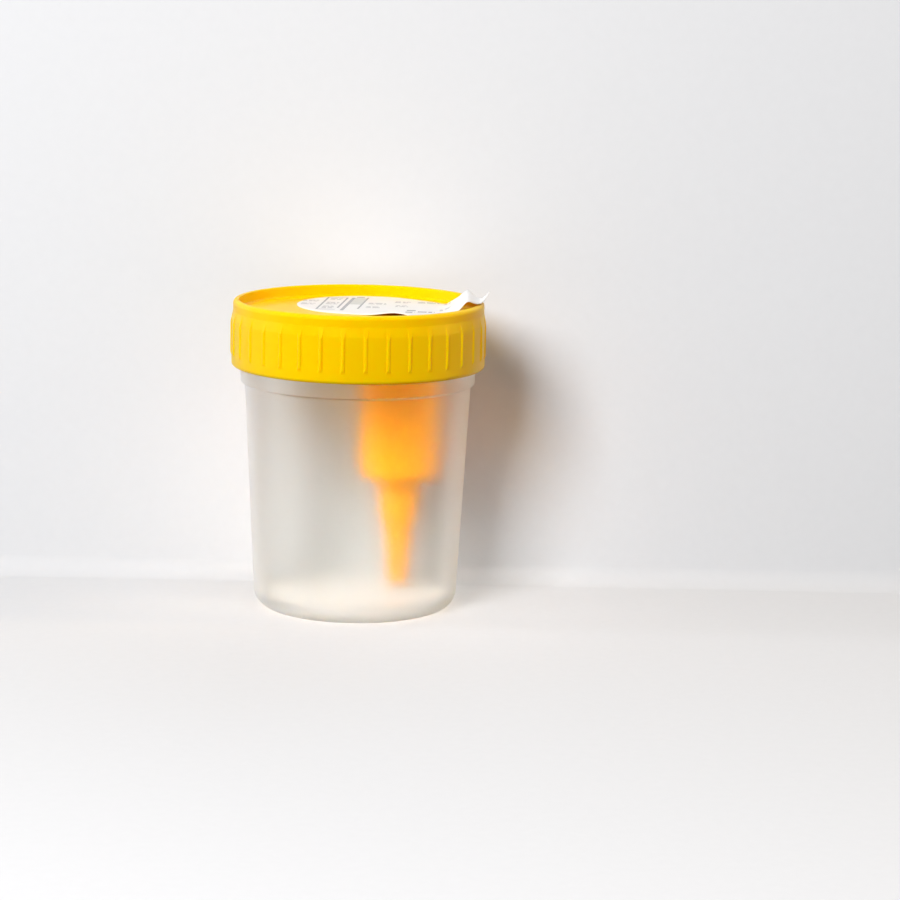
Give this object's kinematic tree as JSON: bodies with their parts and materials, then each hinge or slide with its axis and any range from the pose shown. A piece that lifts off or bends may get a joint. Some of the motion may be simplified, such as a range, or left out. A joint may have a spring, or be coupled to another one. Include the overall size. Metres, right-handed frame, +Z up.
{
  "type": "specimen container",
  "caption": "Tapered translucent cup with a ribbed screw lid, a sealed well for a sample tube and a dip probe that reaches the cup's floor.",
  "frame": {"origin": "on the cup's axis, in the plane that its foot ring stands on", "axes": "+Z up along the cup's axis, +X towards the label's tab, -Y towards the side that is seen from the front"},
  "size_m": [0.0648, 0.0648, 0.0809],
  "materials": {
    "frosted_cup": "translucent frosted polypropylene",
    "yellow_lid": "satin yellow polyethylene",
    "yellow_probe": "satin yellow polypropylene",
    "white_hub": "white moulded plastic",
    "needle_steel": "drawn stainless steel tube",
    "grey_rubber": "soft grey rubber",
    "label_film": "white printed self-adhesive film"
  },
  "bodies": {
    "cup_body": {"cup": "frosted_cup"},
    "lid_body": {"lid": "yellow_lid", "dip_probe": "yellow_probe", "needle_hub": "white_hub", "needle_cannula": "needle_steel", "needle_sleeve": "grey_rubber", "seal_label": "label_film"}
  },
  "joints": [
    {"name": "lid_lift", "type": "slide", "parent": "cup_body", "child": "lid_body", "axis": [0, 0, 1], "range_m": [0, 0.08]}
  ]
}
